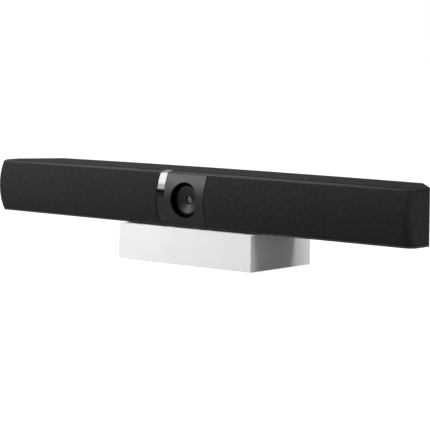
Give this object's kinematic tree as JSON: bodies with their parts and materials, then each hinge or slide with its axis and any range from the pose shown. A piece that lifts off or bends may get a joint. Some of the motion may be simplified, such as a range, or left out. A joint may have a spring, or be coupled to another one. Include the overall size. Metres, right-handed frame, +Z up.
{
  "type": "conference camera",
  "caption": "Long table-top conference bar with fabric speaker grilles, a tilting camera in a round recess, rear sockets and a low white stand.",
  "frame": {"origin": "centre of the stand's footprint on the table, at the underside of its feet", "axes": "+X along the bar, to the right for someone facing its front; +Y towards the rear sockets; +Z up; the lens looks towards -Y"},
  "size_m": [0.65, 0.11, 0.111],
  "materials": {
    "bottom_tray": "fine matt moulded texture",
    "rear_cover": "fine matt moulded texture",
    "top_cover": "satin, bright along the bevelled front edge",
    "front_baffle": "moulded, matt",
    "speaker_partitions": "moulded, matt",
    "left_grille_frame": "moulded, matt black",
    "right_grille_frame": "moulded, matt black",
    "left_grille_fabric": "fine knitted polyester, dark grey",
    "right_grille_fabric": "fine knitted polyester, dark grey",
    "camera_fascia": "satin black lacquer",
    "accent_strip": "polished black, mirror-like",
    "lens_ring": "stepped light trap, matt black",
    "camera_bracket": "folded zinc-plated sheet",
    "tilt_washers": "acetal, natural white",
    "camera_screws": "zinc plated",
    "pod_shell": "satin black moulding",
    "lens_barrel": "black anodised, turned",
    "front_lens": "coated optical glass",
    "rear_lens": "coated optical glass",
    "sensor_board": "glass-fibre circuit board, green",
    "sensor_chip": "image sensor under its cover glass",
    "left_speaker_basket": "pressed steel, black",
    "right_speaker_basket": "pressed steel, black",
    "left_magnet": "plated magnet pot",
    "right_magnet": "plated magnet pot",
    "left_surround": "moulded rubber half roll",
    "right_surround": "moulded rubber half roll",
    "left_cone": "coated paper",
    "right_cone": "coated paper",
    "left_voice_coil": "enamelled copper winding",
    "right_voice_coil": "enamelled copper winding",
    "speaker_gaskets": "closed-cell foam",
    "speaker_screws": "zinc plated",
    "microphone_boards": "glass-fibre circuit board, green",
    "microphone_capsules": "gold-plated can",
    "microphone_boots": "moulded rubber",
    "main_board": "glass-fibre circuit board, green",
    "board_chips": "moulded epoxy",
    "board_capacitors": "sleeved aluminium cans",
    "processor_shield": "tinned sheet",
    "thermal_pad": "soft heat-conducting pad",
    "heat_sink": "extruded, plain",
    "board_screws": "zinc plated",
    "antenna_boards": "glass-fibre circuit board, green",
    "io_panel": "moulded, matt",
    "network_socket": "tinned shield can",
    "usb_socket": "tinned shield can",
    "display_socket": "tinned shield can",
    "power_socket": "moulded, black",
    "reset_button": "moulded, light grey",
    "reset_switch": "moulded, black",
    "rear_inserts": "turned brass",
    "bottom_inserts": "turned brass",
    "housing_screws": "blackened steel",
    "bar_pads": "soft black rubber",
    "stand_shell": "fine white powder coat",
    "stand_base_plate": "grey powder-coated steel",
    "stand_feet": "soft black rubber",
    "stand_screws": "zinc plated",
    "stand_base_screws": "zinc plated"
  },
  "bodies": {
    "bar": {"bottom_tray": "bottom_tray", "rear_cover": "rear_cover", "top_cover": "top_cover", "front_baffle": "front_baffle", "speaker_partitions": "speaker_partitions", "left_grille_frame": "left_grille_frame", "right_grille_frame": "right_grille_frame", "left_grille_fabric": "left_grille_fabric", "right_grille_fabric": "right_grille_fabric", "camera_fascia": "camera_fascia", "accent_strip": "accent_strip", "lens_ring": "lens_ring", "camera_bracket": "camera_bracket", "tilt_washers": "tilt_washers", "camera_screws": "camera_screws", "left_speaker_basket": "left_speaker_basket", "right_speaker_basket": "right_speaker_basket", "left_magnet": "left_magnet", "right_magnet": "right_magnet", "left_surround": "left_surround", "right_surround": "right_surround", "speaker_gaskets": "speaker_gaskets", "speaker_screws": "speaker_screws", "microphone_boards": "microphone_boards", "microphone_capsules": "microphone_capsules", "microphone_boots": "microphone_boots", "main_board": "main_board", "board_chips": "board_chips", "board_capacitors": "board_capacitors", "processor_shield": "processor_shield", "thermal_pad": "thermal_pad", "heat_sink": "heat_sink", "board_screws": "board_screws", "antenna_boards": "antenna_boards", "io_panel": "io_panel", "network_socket": "network_socket", "usb_socket": "usb_socket", "display_socket": "display_socket", "power_socket": "power_socket", "reset_switch": "reset_switch", "rear_inserts": "rear_inserts", "bottom_inserts": "bottom_inserts", "housing_screws": "housing_screws", "bar_pads": "bar_pads", "stand_shell": "stand_shell", "stand_base_plate": "stand_base_plate", "stand_feet": "stand_feet", "stand_screws": "stand_screws", "stand_base_screws": "stand_base_screws"},
    "camera_pod": {"pod_shell": "pod_shell", "lens_barrel": "lens_barrel", "front_lens": "front_lens", "rear_lens": "rear_lens", "sensor_board": "sensor_board", "sensor_chip": "sensor_chip"},
    "left_driver": {"left_cone": "left_cone", "left_voice_coil": "left_voice_coil"},
    "right_driver": {"right_cone": "right_cone", "right_voice_coil": "right_voice_coil"},
    "reset_push": {"reset_button": "reset_button"}
  },
  "joints": [
    {"name": "camera_tilt", "type": "hinge", "parent": "bar", "child": "camera_pod", "pos_m": [0, -0.0425, 0.0775], "axis": [1, 0, 0], "range_deg": [-10, 10]},
    {"name": "left_cone_travel", "type": "slide", "parent": "bar", "child": "left_driver", "axis": [0, 1, 0], "range_m": [-0.0012, 0.0012], "stiffness_N_per_m": 800},
    {"name": "right_cone_travel", "type": "slide", "parent": "bar", "child": "right_driver", "axis": [0, 1, 0], "range_m": [-0.0012, 0.0012], "stiffness_N_per_m": 800},
    {"name": "reset_press", "type": "slide", "parent": "bar", "child": "reset_push", "axis": [0, -1, 0], "range_m": [0, 0.0005], "stiffness_N_per_m": 1500}
  ]
}
